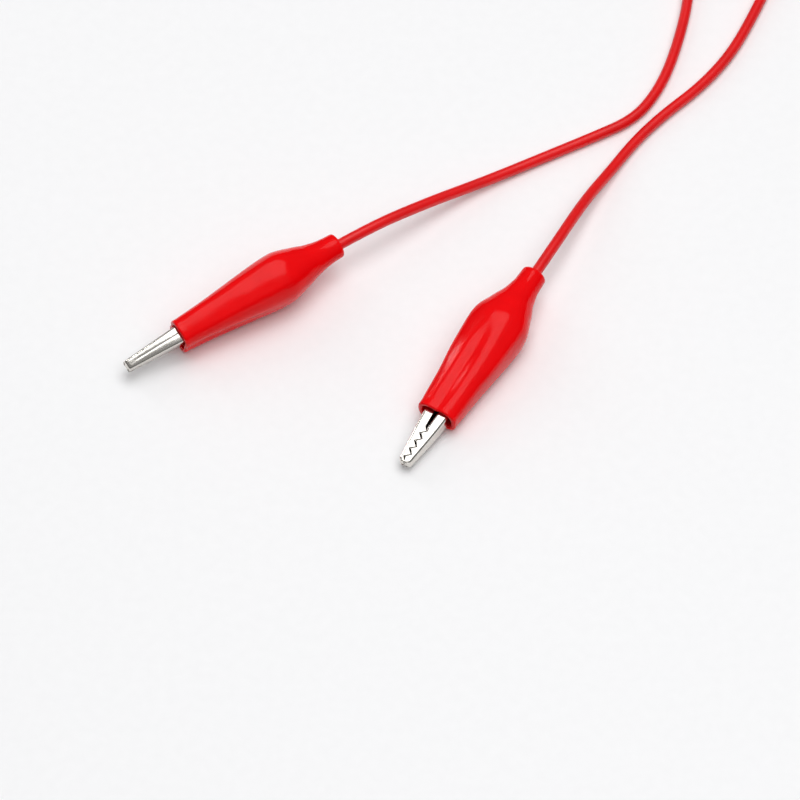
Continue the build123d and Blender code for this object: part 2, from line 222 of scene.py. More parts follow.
def soft_red_pvc():
    """Dip-moulded plasticised PVC: a deep, slightly see-through red with a wet-looking gloss,
    a faint orange peel, and rubbed streaks along the sleeve where fingers have dulled it."""
    material, tree = new_material("soft_red_pvc")
    place = add(tree, "ShaderNodeTexCoord").outputs["Object"]
    along = add(tree, "ShaderNodeUVMap", uv_map="UVMap").outputs["UV"]
    peel_size = 0.35 * MM
    peel = add(tree, "ShaderNodeTexNoise", {"Vector": place, "Scale": 1 / peel_size, "Detail": 3.0})
    cloud_size = 4.0 * MM
    cloud = add(tree, "ShaderNodeTexNoise", {"Vector": place, "Scale": 1 / cloud_size, "Detail": 2.0})
    streak_place = add(tree, "ShaderNodeMapping", {"Vector": along, "Scale": (6.0, 90.0, 1.0)})
    streak = add(
        tree,
        "ShaderNodeTexNoise",
        {"Vector": streak_place.outputs["Vector"], "Scale": 1.0, "Detail": 3.0},
    )
    tint = add(tree, "ShaderNodeMix", data_type="RGBA")
    tint.inputs["A"].default_value = colour("#F2040A")
    tint.inputs["B"].default_value = colour("#E30308")
    tree.links.new(cloud.outputs["Fac"], tint.inputs["Factor"])
    rub = add(
        tree,
        "ShaderNodeMapRange",
        {
            "Value": streak.outputs["Fac"],
            "From Min": 0.35,
            "From Max": 0.75,
            "To Min": 0.1,
            "To Max": 0.2,
        },
    )
    dents = add(
        tree,
        "ShaderNodeBump",
        {"Height": cloud.outputs["Fac"], "Strength": 0.5, "Distance": 0.12 * MM},
    )
    skin = add(
        tree,
        "ShaderNodeBump",
        {
            "Height": peel.outputs["Fac"],
            "Strength": 0.35,
            "Distance": 0.012 * MM,
            "Normal": dents.outputs["Normal"],
        },
    )
    shader = add(
        tree,
        "ShaderNodeBsdfPrincipled",
        {
            "Base Color": tint.outputs["Result"],
            "Roughness": rub.outputs["Result"],
            "IOR": 1.53,
            "Specular IOR Level": 0.14,
            "Subsurface Weight": 0.12,
            "Subsurface Radius": (1.0, 0.15, 0.1),
            "Subsurface Scale": 0.8 * MM,
            "Normal": skin.outputs["Normal"],
        },
    )
    end_material(tree, shader)
    return material


def red_wire_pvc():
    """Extruded PVC insulation: the same red as the boots, a little duller, with a fine grain from
    the die and slow swellings where the strands press out."""
    material, tree = new_material("red_wire_pvc")
    place = add(tree, "ShaderNodeTexCoord").outputs["Object"]
    grain_size = 0.3 * MM
    grain = add(tree, "ShaderNodeTexNoise", {"Vector": place, "Scale": 1 / grain_size, "Detail": 3.0})
    swelling_size = 5.0 * MM
    swelling = add(
        tree,
        "ShaderNodeTexNoise",
        {"Vector": place, "Scale": 1 / swelling_size, "Detail": 1.0},
    )
    tint = add(tree, "ShaderNodeMix", data_type="RGBA")
    tint.inputs["A"].default_value = colour("#EA0409")
    tint.inputs["B"].default_value = colour("#D60307")
    tree.links.new(swelling.outputs["Fac"], tint.inputs["Factor"])
    gloss = add(
        tree,
        "ShaderNodeMapRange",
        {"Value": grain.outputs["Fac"], "From Min": 0.3, "From Max": 0.7, "To Min": 0.3, "To Max": 0.44},
    )
    skin = add(
        tree,
        "ShaderNodeBump",
        {"Height": grain.outputs["Fac"], "Strength": 0.4, "Distance": 0.015 * MM},
    )
    shader = add(
        tree,
        "ShaderNodeBsdfPrincipled",
        {
            "Base Color": tint.outputs["Result"],
            "Roughness": gloss.outputs["Result"],
            "IOR": 1.53,
            "Subsurface Weight": 0.08,
            "Subsurface Radius": (1.0, 0.15, 0.1),
            "Subsurface Scale": 0.5 * MM,
            "Normal": skin.outputs["Normal"],
        },
    )
    end_material(tree, shader)
    return material


def nickel_plated_steel():
    """Bright nickel on rolled steel sheet: warm white mirror with faint rolling lines along the jaw
    and a slightly uneven plating that softens the reflections."""
    material, tree = new_material("nickel_plated_steel")
    place = add(tree, "ShaderNodeTexCoord").outputs["Object"]
    along = add(tree, "ShaderNodeUVMap", uv_map="UVMap").outputs["UV"]
    line_place = add(tree, "ShaderNodeMapping", {"Vector": along, "Scale": (8.0, 400.0, 1.0)})
    lines = add(
        tree,
        "ShaderNodeTexNoise",
        {"Vector": line_place.outputs["Vector"], "Scale": 1.0, "Detail": 2.0},
    )
    plating_size = 0.8 * MM
    plating = add(tree, "ShaderNodeTexNoise", {"Vector": place, "Scale": 1 / plating_size, "Detail": 3.0})
    tint = add(tree, "ShaderNodeMix", data_type="RGBA")
    tint.inputs["A"].default_value = colour("#E9E6E0")
    tint.inputs["B"].default_value = colour("#CFCAC2")
    tree.links.new(plating.outputs["Fac"], tint.inputs["Factor"])
    polish = add(
        tree,
        "ShaderNodeMapRange",
        {"Value": lines.outputs["Fac"], "From Min": 0.3, "From Max": 0.7, "To Min": 0.1, "To Max": 0.22},
    )
    rolled = add(
        tree,
        "ShaderNodeBump",
        {"Height": lines.outputs["Fac"], "Strength": 0.3, "Distance": 0.006 * MM},
    )
    uneven = add(
        tree,
        "ShaderNodeBump",
        {
            "Height": plating.outputs["Fac"],
            "Strength": 0.3,
            "Distance": 0.02 * MM,
            "Normal": rolled.outputs["Normal"],
        },
    )
    shader = add(
        tree,
        "ShaderNodeBsdfPrincipled",
        {
            "Base Color": tint.outputs["Result"],
            "Metallic": 1.0,
            "Roughness": polish.outputs["Result"],
            "Normal": uneven.outputs["Normal"],
        },
    )
    end_material(tree, shader)
    return material


def worked_metal(name, light, dark, roughness, grain_size, grain_depth):
    """Bare or plated metal that was drawn, headed or melted: two close tints and its own grain."""
    material, tree = new_material(name)
    place = add(tree, "ShaderNodeTexCoord").outputs["Object"]
    grain = add(tree, "ShaderNodeTexNoise", {"Vector": place, "Scale": 1 / grain_size, "Detail": 4.0})
    tint = add(tree, "ShaderNodeMix", data_type="RGBA")
    tint.inputs["A"].default_value = colour(light)
    tint.inputs["B"].default_value = colour(dark)
    tree.links.new(grain.outputs["Fac"], tint.inputs["Factor"])
    dulled = add(
        tree,
        "ShaderNodeMapRange",
        {"Value": grain.outputs["Fac"], "To Min": 0.6 * roughness, "To Max": 1.4 * roughness},
    )
    bump = add(
        tree,
        "ShaderNodeBump",
        {"Height": grain.outputs["Fac"], "Strength": 0.5, "Distance": grain_depth},
    )
    shader = add(
        tree,
        "ShaderNodeBsdfPrincipled",
        {
            "Base Color": tint.outputs["Result"],
            "Metallic": 1.0,
            "Roughness": dulled.outputs["Result"],
            "Normal": bump.outputs["Normal"],
        },
    )
    end_material(tree, shader)
    return material


def black_nylon_strap():
    """Woven nylon hook-and-loop strap: matt black, with ribs across it and a fuzz that catches light."""
    material, tree = new_material("black_nylon_strap")
    along = add(tree, "ShaderNodeUVMap", uv_map="UVMap").outputs["UV"]
    place = add(tree, "ShaderNodeTexCoord").outputs["Object"]
    # Ribs are drawn 0.4 mm apart, twice as coarse as real ones, so that they show
    rib_pitch = 0.4
    ribs = add(
        tree,
        "ShaderNodeTexWave",
        {"Vector": along, "Scale": 10 / rib_pitch / 2, "Distortion": 1.5, "Detail": 2.0},
        bands_direction="X",
    )
    fuzz_size = 0.15 * MM
    fuzz = add(tree, "ShaderNodeTexNoise", {"Vector": place, "Scale": 1 / fuzz_size, "Detail": 4.0})
    tint = add(tree, "ShaderNodeMix", data_type="RGBA")
    tint.inputs["A"].default_value = colour("#101112")
    tint.inputs["B"].default_value = colour("#2A2B2D")
    tree.links.new(fuzz.outputs["Fac"], tint.inputs["Factor"])
    weave = add(
        tree,
        "ShaderNodeBump",
        {"Height": ribs.outputs["Fac"], "Strength": 0.6, "Distance": 0.06 * MM},
    )
    shader = add(
        tree,
        "ShaderNodeBsdfPrincipled",
        {
            "Base Color": tint.outputs["Result"],
            "Roughness": 0.8,
            "Sheen Weight": 0.4,
            "Sheen Roughness": 0.5,
            "Normal": weave.outputs["Normal"],
        },
    )
    end_material(tree, shader)
    return material


def white_table():
    """Matt white laminate, with a grain too fine to draw the eye."""
    material, tree = new_material("white_table")
    place = add(tree, "ShaderNodeTexCoord").outputs["Object"]
    grain_size = 2.0 * MM
    grain = add(tree, "ShaderNodeTexNoise", {"Vector": place, "Scale": 1 / grain_size, "Detail": 2.0})
    tint = add(tree, "ShaderNodeMix", data_type="RGBA")
    tint.inputs["A"].default_value = colour("#F7F7F8")
    tint.inputs["B"].default_value = colour("#F3F3F4")
    tree.links.new(grain.outputs["Fac"], tint.inputs["Factor"])
    shader = add(
        tree,
        "ShaderNodeBsdfPrincipled",
        {"Base Color": tint.outputs["Result"], "Roughness": 0.55},
    )
    end_material(tree, shader)
    return material


BOOT_RED = soft_red_pvc()
WIRE_RED = red_wire_pvc()
NICKEL = nickel_plated_steel()
RIVET_STEEL = worked_metal("zinc_plated_rivet_steel", "#C9CBCD", "#A9ABAE", 0.3, 0.4 * MM, 0.01 * MM)
SPRING_STEEL = worked_metal("drawn_spring_steel", "#B9B4AA", "#8F8B84", 0.28, 0.2 * MM, 0.008 * MM)
TINNED_COPPER = worked_metal("tinned_copper_strand", "#D8C2A6", "#C79B77", 0.3, 0.12 * MM, 0.006 * MM)
SOLDER = worked_metal("tin_solder", "#CBCCCE", "#9C9EA2", 0.32, 0.5 * MM, 0.03 * MM)
STRAP_BLACK = black_nylon_strap()

# ---------------------------------------------------------------- mesh helpers


def through(points):
    """Smooth function through (x, y) points that never swings past a neighbouring value."""
    x, y = np.array(sorted(points), float).T
    step = np.diff(x)
    rise = np.diff(y) / step
    slope = np.zeros(len(x))
    slope[0], slope[-1] = rise[0], rise[-1]
    for i in range(1, len(x) - 1):
        if rise[i - 1] * rise[i] > 0:
            slope[i] = 2 * rise[i - 1] * rise[i] / (rise[i - 1] + rise[i])

    def value(at):
        at = np.clip(at, x[0], x[-1])
        i = np.clip(np.searchsorted(x, at) - 1, 0, len(step) - 1)
        t = (at - x[i]) / step[i]
        blend = t * t * (3 - 2 * t)
        lead_in = t * (1 - t) ** 2 * step[i] * slope[i]
        lead_out = t * t * (1 - t) * step[i] * slope[i + 1]
        return y[i] * (1 - blend) + y[i + 1] * blend + lead_in - lead_out

    return value


def mesh_object(name, corners, faces, uvs, material):
    """A smooth-shaded mesh object with one UV per corner point."""
    mesh = bpy.data.meshes.new(name)
    mesh.from_pydata([tuple(c) for c in corners], [], faces)
    layer = mesh.uv_layers.new(name="UVMap")
    for loop in mesh.loops:
        layer.data[loop.index].uv = uvs[loop.vertex_index]
    mesh.materials.append(material)
    mesh.shade_smooth()
    piece = bpy.data.objects.new(name, mesh)
    bpy.context.scene.collection.objects.link(piece)
    return piece


def made_plain(piece):
    """Turns a piece's modifiers into its mesh."""
    graph = bpy.context.evaluated_depsgraph_get()
    mesh = bpy.data.meshes.new_from_object(piece.evaluated_get(graph))
    mesh.name = piece.name
    if piece.type == "MESH":
        piece.modifiers.clear()
        piece.data = mesh
        return piece
    name = piece.name
    bpy.data.objects.remove(piece)
    plain = bpy.data.objects.new(name, mesh)
    bpy.context.scene.collection.objects.link(plain)
    return plain


def quads(columns, flip=False):
    """Faces between neighbouring columns of point numbers."""
    faces = []
    for left, right in zip(columns, columns[1:]):
        for row in range(len(left) - 1):
            face = (left[row], left[row + 1], right[row + 1], right[row])
            faces.append(face[::-1] if flip else face)
    return faces


# ---------------------------------------------------------------- jaws


def gripping_edge(side, reach):
    """Lower edge of a jaw's flanges from nose to lever end, as distances from the clip's middle
    towards the jaw's back."""
    teeth_front = NOSE_REACH - TOOTH_MARGIN
    teeth_back = teeth_front - TOOTH_PAIRS * TOOTH_PITCH + TOOTH_LEAN * TOOTH_PITCH
    slot_back = teeth_back - SLOT_LENGTH
    points = [(NOSE_REACH, NOSE_GAP / 2)]
    for tooth in range(TOOTH_PAIRS):
        valley_x = teeth_front - tooth * TOOTH_PITCH
        points.append((valley_x, (TOOTH_GAP - side * TOOTH_HEIGHT) / 2))
        points.append((valley_x - TOOTH_LEAN * TOOTH_PITCH, (TOOTH_GAP + side * TOOTH_HEIGHT) / 2))
    points.append((teeth_back - SLOT_POINT, SLOT_FRONT_WIDTH / 2))
    points.append((slot_back + SLOT_POINT, SLOT_BACK_WIDTH / 2))
    points.append((slot_back, NOSE_GAP / 2))
    ear_steps = 14
    for step in range(ear_steps + 1):
        turn = pi * step / ear_steps
        points.append((EAR_RADIUS * cos(turn), min(NOSE_GAP / 2, -EAR_RADIUS * sin(turn))))
    points.append((-EAR_RADIUS - 0.6, 0.5 * WAIST_HALF_HEIGHT))
    points.append((-reach, LEVER_HALF_HEIGHT - FLANGE_DEPTH))
    return sorted(points)


def rib_drop(across):
    """How deep the pressed rib is at a distance across the back."""
    return RIB_DEPTH * max(0.0, 1 - (across / (2 * RIB_HALF_WIDTH)) ** 2) ** 2


def jaw_mesh(name, side):
    """One toothed sheet-steel channel: flanges with teeth and ear, rounded bends, a back with a pressed
    rib, and a lip folded down over the nose. The tail jaw also has its strip and crimped barrel."""
    is_tail = side < 0
    reach = TAIL_LEVER_REACH if is_tail else LEVER_REACH
    nesting = 0.0 if is_tail else NESTING
    back_height = through(
        [
            (NOSE_REACH, NOSE_HALF_HEIGHT),
            (MOUTH_X, MOUTH_HALF_HEIGHT),
            (0, WAIST_HALF_HEIGHT),
            (-reach, LEVER_HALF_HEIGHT),
        ]
    )
    half_width = through(
        [
            (NOSE_REACH, NOSE_HALF_WIDTH),
            (0, HINGE_HALF_WIDTH + nesting),
            (-reach, LEVER_HALF_WIDTH + nesting),
        ]
    )
    edge_x, edge_y = np.array(gripping_edge(side, reach)).T
    nose_bend_x = NOSE_REACH - BEND_RADIUS
    bend_x = [nose_bend_x + BEND_RADIUS * sin(radians(turn)) for turn in range(0, 91, 15)]
    even_x = np.linspace(-reach, nose_bend_x, 90)
    column_x = np.unique(np.round(np.concatenate([edge_x, even_x, bend_x]), 4))
    rib = through([(-2.0, 0.0), (-0.5, 1.0), (14.5, 1.0), (16.0, 0.0)])
    corners, uvs, columns = [], [], []
    flange_rows, bend_rows = 5, 5

    def put(x, toward_back, across, v):
        corners.append((x, side * toward_back, across))
        uvs.append((x / 10, v / 10))
        return len(corners) - 1

    for x in column_x:
        top = back_height(x)
        if x > nose_bend_x:
            top -= BEND_RADIUS - sqrt(max(BEND_RADIUS**2 - (x - nose_bend_x) ** 2, 0))
        width = half_width(x)
        low = min(np.interp(x, edge_x, edge_y), top - BEND_RADIUS - 0.02)
        flange = [(low + (top - BEND_RADIUS - low) * i / flange_rows, width) for i in range(flange_rows)]
        bend = []
        for i in range(bend_rows + 1):
            turn = radians(90 * i / bend_rows)
            bend.append(
                (
                    top - BEND_RADIUS + BEND_RADIUS * sin(turn),
                    width - BEND_RADIUS + BEND_RADIUS * cos(turn),
                )
            )
        flat = width - BEND_RADIUS
        half = flange + bend + [(top, z) for z in (0.36, 0.27, 0.18, 0.09) if z < flat]
        pressed = [(y - rib_drop(z) * rib(x), z) for y, z in half]
        section = [(y, -z) for y, z in pressed] + [(top - RIB_DEPTH * rib(x), 0.0)] + pressed[::-1]
        columns.append([put(x, y, z, i * ROW_SPACING) for i, (y, z) in enumerate(section)])
    faces = quads(columns, flip=is_tail)
    back_rows = slice(flange_rows + bend_rows, len(columns[0]) - flange_rows - bend_rows)

    # Lip folded down over the nose, between the flanges
    nose_rows = columns[-1][back_rows]
    lip = [nose_rows]
    lip_drop = abs(corners[nose_rows[0]][1]) - NOSE_GAP
    for step in range(1, 4):
        lip.append(
            [
                put(NOSE_REACH, abs(corners[n][1]) - lip_drop * step / 3, corners[n][2], 9 + step / 4)
                for n in nose_rows
            ]
        )
    faces += quads(lip, flip=is_tail)

    if is_tail:
        # Strip from the lever's back, which narrows and curls until it meets the barrel's bottom line
        lever_rows = columns[0][back_rows]
        lever_flat = corners[lever_rows[-1]][2]
        strip = [lever_rows]
        strip_steps = 12
        for step in range(1, strip_steps + 1):
            share = step / strip_steps
            x = -reach - (BARREL_FRONT - reach) * share
            height = LEVER_HALF_HEIGHT + (BARREL_RADIUS - LEVER_HALF_HEIGHT) * share
            narrow = lever_flat + (STRIP_HALF_WIDTH - lever_flat) * min(1, 2.5 * share)
            curl = share**2 / BARREL_RADIUS
            column = []
            for n in lever_rows:
                reach_across = corners[n][2] / lever_flat * narrow
                turn = reach_across * curl
                z = sin(turn) / curl
                column.append(put(x, height - (1 - cos(turn)) / curl, z, reach_across))
            strip.append(column)
        faces += quads(strip[::-1], flip=is_tail)
        # Barrel rolled from the same sheet, open along its seam
        wrap = radians(180 - BARREL_OPEN_DEGREES / 2)
        first_turn = STRIP_HALF_WIDTH / BARREL_RADIUS
        side_turns = np.linspace(first_turn, wrap, 12)[1:]

        def front_point(turn):
            return put(-BARREL_FRONT, BARREL_RADIUS * cos(turn), BARREL_RADIUS * sin(turn), turn)

        front = [front_point(-turn) for turn in side_turns[::-1]]
        front += strip[-1]
        front += [front_point(turn) for turn in side_turns]
        barrel = [front]
        barrel_steps = 6
        for step in range(1, barrel_steps + 1):
            x = -BARREL_FRONT - (BARREL_BACK - BARREL_FRONT) * step / barrel_steps
            barrel.append([put(x, side * corners[n][1], corners[n][2], uvs[n][1] * 10) for n in front])
        faces += quads(barrel[::-1], flip=is_tail)

    piece = mesh_object(name, corners, faces, uvs, NICKEL)
    walls = piece.modifiers.new("walls", "SOLIDIFY")
    walls.thickness = SHEET
    walls.offset = -1
    walls.use_even_offset = True
    edges = piece.modifiers.new("edges", "BEVEL")
    edges.width = EDGE_ROUND
    edges.segments = 2
    edges.limit_method = "ANGLE"
    edges.angle_limit = radians(40)
    bpy.ops.mesh.primitive_cylinder_add(vertices=48, radius=RIVET_HOLE_RADIUS, depth=4 * LEVER_HALF_WIDTH)
    drill = bpy.context.object
    hole = piece.modifiers.new("hole", "BOOLEAN")
    hole.operation = "DIFFERENCE"
    hole.solver = "EXACT"
    hole.object = drill
    made_plain(piece)
    bpy.data.objects.remove(drill)
    piece.data.shade_smooth()
    piece.data.set_sharp_from_angle(angle=radians(35))
    return piece


# ---------------------------------------------------------------- spring and conductor


def round_strands():
    """Geometry nodes that turn a path of edges into one round wire, or strands laid round a core."""
    tree = bpy.data.node_groups.new("round_strands", "GeometryNodeTree")
    sockets = [
        ("Path", "NodeSocketGeometry"),
        ("Strands", "NodeSocketInt"),
        ("Strand Radius", "NodeSocketFloat"),
        ("Lay Radius", "NodeSocketFloat"),
        ("Lay Turns", "NodeSocketFloat"),
        ("Sides", "NodeSocketInt"),
        ("Finish", "NodeSocketMaterial"),
    ]
    for name, kind in sockets:
        tree.interface.new_socket(name, in_out="INPUT", socket_type=kind)
    tree.interface.new_socket("Wire", in_out="OUTPUT", socket_type="NodeSocketGeometry")
    given = add(tree, "NodeGroupInput").outputs
    path = add(tree, "GeometryNodeMeshToCurve", {"Mesh": given["Path"]})
    copies = add(
        tree,
        "GeometryNodeDuplicateElements",
        {"Geometry": path.outputs["Curve"], "Amount": given["Strands"]},
        domain="SPLINE",
    )
    number = copies.outputs["Duplicate Index"]
    along = add(tree, "GeometryNodeSplineParameter").outputs["Factor"]
    others = add(tree, "ShaderNodeMath", {0: given["Strands"], 1: 1.0}, operation="SUBTRACT")
    at_least_one = add(tree, "ShaderNodeMath", {0: others.outputs[0], 1: 1.0}, operation="MAXIMUM")
    share = add(tree, "ShaderNodeMath", {0: number, 1: at_least_one.outputs[0]}, operation="DIVIDE")
    turns = add(
        tree,
        "ShaderNodeMath",
        {0: along, 1: given["Lay Turns"], 2: share.outputs[0]},
        operation="MULTIPLY_ADD",
    )
    tilt = add(tree, "ShaderNodeMath", {0: turns.outputs[0], 1: 2 * pi}, operation="MULTIPLY")
    tilted = add(
        tree,
        "GeometryNodeSetCurveTilt",
        {"Curve": copies.outputs["Geometry"], "Tilt": tilt.outputs[0]},
    )
    off_core = add(tree, "ShaderNodeMath", {0: number, 1: 1.0}, operation="MINIMUM")
    out = add(
        tree,
        "ShaderNodeMath",
        {0: off_core.outputs[0], 1: given["Lay Radius"]},
        operation="MULTIPLY",
    )
    normal = add(tree, "GeometryNodeInputNormal").outputs[0]
    offset = add(tree, "ShaderNodeVectorMath", {0: normal, "Scale": out.outputs[0]}, operation="SCALE")
    laid = add(
        tree,
        "GeometryNodeSetPosition",
        {"Geometry": tilted.outputs[0], "Offset": offset.outputs[0]},
    )
    ring = add(
        tree,
        "GeometryNodeCurvePrimitiveCircle",
        {"Radius": given["Strand Radius"], "Resolution": given["Sides"]},
    )
    tube = add(
        tree,
        "GeometryNodeCurveToMesh",
        {"Curve": laid.outputs["Geometry"], "Profile Curve": ring.outputs["Curve"], "Fill Caps": True},
    )
    real = add(tree, "GeometryNodeRealizeInstances", {"Geometry": tube.outputs["Mesh"]})
    finished = add(
        tree,
        "GeometryNodeSetMaterial",
        {"Geometry": real.outputs["Geometry"], "Material": given["Finish"]},
    )
    add(tree, "NodeGroupOutput", {"Wire": finished.outputs["Geometry"]})
    return tree


STRAND_TREE = round_strands()


def strand_piece(name, path, finish, **sizes):
    """A wire or bundle along a path in clip millimetres."""
    mesh = bpy.data.meshes.new(name)
    mesh.from_pydata(path, [(i, i + 1) for i in range(len(path) - 1)], [])
    piece = bpy.data.objects.new(name, mesh)
    bpy.context.scene.collection.objects.link(piece)
    modifier = piece.modifiers.new("strands", "NODES")
    modifier.node_group = STRAND_TREE
    values = {"Finish": finish, "Sides": 12, **sizes}
    for item in STRAND_TREE.interface.items_tree:
        if item.in_out == "INPUT" and item.name in values:
            modifier[item.identifier] = values[item.name]
    made_plain(piece)
    piece.data.shade_smooth()
    piece.data.set_sharp_from_angle(angle=radians(50))
    return piece


def spring_path():
    """Centre line of the torsion spring: a close winding on the rivet and one leg under each lever."""
    leg_reach = sqrt(SPRING_LEG_REACH**2 + SPRING_LEG_HEIGHT**2)
    slope = np.arcsin(SPRING_LEG_HEIGHT / leg_reach) - np.arcsin(SPRING_RADIUS / leg_reach)
    leg_turn = pi / 2 - slope
    whole_turn = 2 * leg_turn + 2 * pi * SPRING_TURNS
    height = SPRING_PITCH * whole_turn / (2 * pi)
    steps = 96
    winding = []
    for step in range(steps + 1):
        turn = whole_turn * step / steps
        angle = turn - leg_turn
        z = height * (turn / whole_turn - 0.5)
        winding.append((SPRING_RADIUS * cos(angle), SPRING_RADIUS * sin(angle), z))
    leg_length = sqrt(leg_reach**2 - SPRING_RADIUS**2)
    legs = []
    for end, way in ((winding[0], -1), (winding[-1], 1)):
        angle = np.arctan2(end[1], end[0])
        heading = (-sin(angle) * way, cos(angle) * way)
        leg = []
        for share in np.linspace(0, 1, 13)[1:]:
            leg.append(
                (
                    end[0] + heading[0] * leg_length * share,
                    end[1] + heading[1] * leg_length * share,
                    end[2],
                )
            )
        legs.append(leg)
    return legs[0][::-1] + winding + legs[1]


def conductor_path():
    """Centre line of the bare strands, from the insulation down on to the tail's strip."""
    slope = (LEVER_HALF_HEIGHT - BARREL_RADIUS) / (BARREL_FRONT - TAIL_LEVER_REACH)
    lean = sqrt(1 + slope**2)

    def on_strip(reach):
        face = SHEET - BARREL_RADIUS - slope * (BARREL_FRONT - reach)
        return (-reach, face + CONDUCTOR_RADIUS * lean)

    middle = CONDUCTOR_REACH + 0.45 * (INSULATION_REACH - CONDUCTOR_REACH)
    straight = [(-INSULATION_REACH, 0), (-INSULATION_REACH + 0.45, 0)]
    height = through(straight + [on_strip(middle), on_strip(CONDUCTOR_REACH)])
    return [(x, float(height(x)), 0.0) for x in np.linspace(-INSULATION_REACH, -CONDUCTOR_REACH, 25)]


# ---------------------------------------------------------------- boot


def boot_mesh(name, seed):
    """Soft sleeve with a real wall: outside, rounded mouth rim, inside and bore. The levers inside push
    out four long soft ridges, and each wide side sinks into a long crease between them."""
    distance, height, width, squareness = np.array(BOOT_SECTIONS).T
    height_at = through(list(zip(distance, height)))
    width_at = through(list(zip(distance, width)))
    squareness_at = through(list(zip(distance, squareness)))
    ridge_at = through([(0.0, 0.0), (3.0, 0.25), (14.0, 0.8), (19.5, 1.0), (22.5, 0.35), (25.5, 0.0)])
    crease_at = through([(0.0, 0.55), (5.0, 1.0), (12.0, 0.9), (17.0, 0.4), (21.0, 0.0), (34.0, 0.0)])
    turns = [2 * pi * step / BOOT_POINTS_AROUND for step in range(BOOT_POINTS_AROUND)]
    ridge_turn = np.arctan2(LEVER_HALF_WIDTH + NESTING, LEVER_HALF_HEIGHT)
    ridge_turns = [ridge_turn, pi - ridge_turn, pi + ridge_turn, 2 * pi - ridge_turn]
    crease_turns = [pi / 2, 3 * pi / 2]
    corners, uvs, rings = [], [], []

    def ring(at, inset, mouth_flare=0.0, bore=None):
        x = MOUTH_X - at
        numbers = []
        for step, turn in enumerate(turns):
            power = squareness_at(at)
            reach = (abs(cos(turn)) ** power + abs(sin(turn)) ** power) ** (-1 / power)
            y = height_at(at) / 2 * reach * cos(turn)
            z = width_at(at) / 2 * reach * sin(turn)
            out = Vector((y, z)).normalized()
            away = [min(abs(turn - r), 2 * pi - abs(turn - r)) for r in ridge_turns]
            ridge = RIDGE_HEIGHT * ridge_at(at) * sum(np.exp(-((a / RIDGE_SPREAD) ** 2)) for a in away)
            creases = sum(np.exp(-(((turn - middle) / CREASE_SPREAD) ** 2)) for middle in crease_turns)
            hollow = CREASE_DEPTH * crease_at(at) * creases
            lump_place = Vector((x / 6, cos(turn) + seed, sin(turn) - seed))
            lump = UNEVENNESS * noise.noise(lump_place) * min(1.0, (BOOT_LENGTH - at) / 6)
            grow = ridge - hollow + lump + mouth_flare - inset
            y, z = y + out.x * grow, z + out.y * grow
            if bore is not None:
                y, z = bore * cos(turn), bore * sin(turn)
            # The mouth was cut by hand, so its rim isn't quite flat
            cut_place = Vector((cos(turn) * 1.3, sin(turn) * 1.3, seed + 7))
            cut = UNEVENNESS * noise.noise(cut_place) if at < 1 else 0
            corners.append((x + cut, y, z))
            uvs.append((at / 10, step / BOOT_POINTS_AROUND))
            numbers.append(len(corners) - 1)
        numbers.append(numbers[0])
        rings.append(numbers)

    neck_start = BOOT_LENGTH - NECK_LENGTH
    bore = WIRE_RADIUS + NECK_BORE_CLEARANCE
    # Outside, from the mouth's rim to the neck's rounded end
    mouth_rings = np.linspace(RIM_RADIUS, FLARE_LENGTH, 6)
    for at in np.concatenate([mouth_rings, np.linspace(1.6, 33.4, 96)]):
        ring(at, 0.0, mouth_flare=MOUTH_FLARE * max(0.0, 1 - at / FLARE_LENGTH))
    for turn in range(15, 91, 15):
        ring(
            BOOT_LENGTH - NECK_EDGE * (1 - sin(radians(turn))),
            NECK_EDGE * (1 - cos(radians(turn))),
        )
    # Neck's end face, its bore, and the inside back to the mouth
    ring(BOOT_LENGTH, 0.0, bore=bore + 0.3)
    for at in np.linspace(BOOT_LENGTH, neck_start, 8):
        ring(at, 0.0, bore=bore)
    for at in np.linspace(neck_start - 1.2, RIM_RADIUS, 60):
        ring(at, BOOT_WALL)
    for turn in range(30, 180, 30):
        ring(
            RIM_RADIUS * (1 - sin(radians(turn))),
            BOOT_WALL / 2 + BOOT_WALL / 2 * cos(radians(turn)),
            mouth_flare=MOUTH_FLARE * (1 - cos(radians(turn))) / 2,
        )
    rings.append(rings[0])
    return mesh_object(name, corners, quads(rings, flip=True), uvs, BOOT_RED)


# ---------------------------------------------------------------- both clips

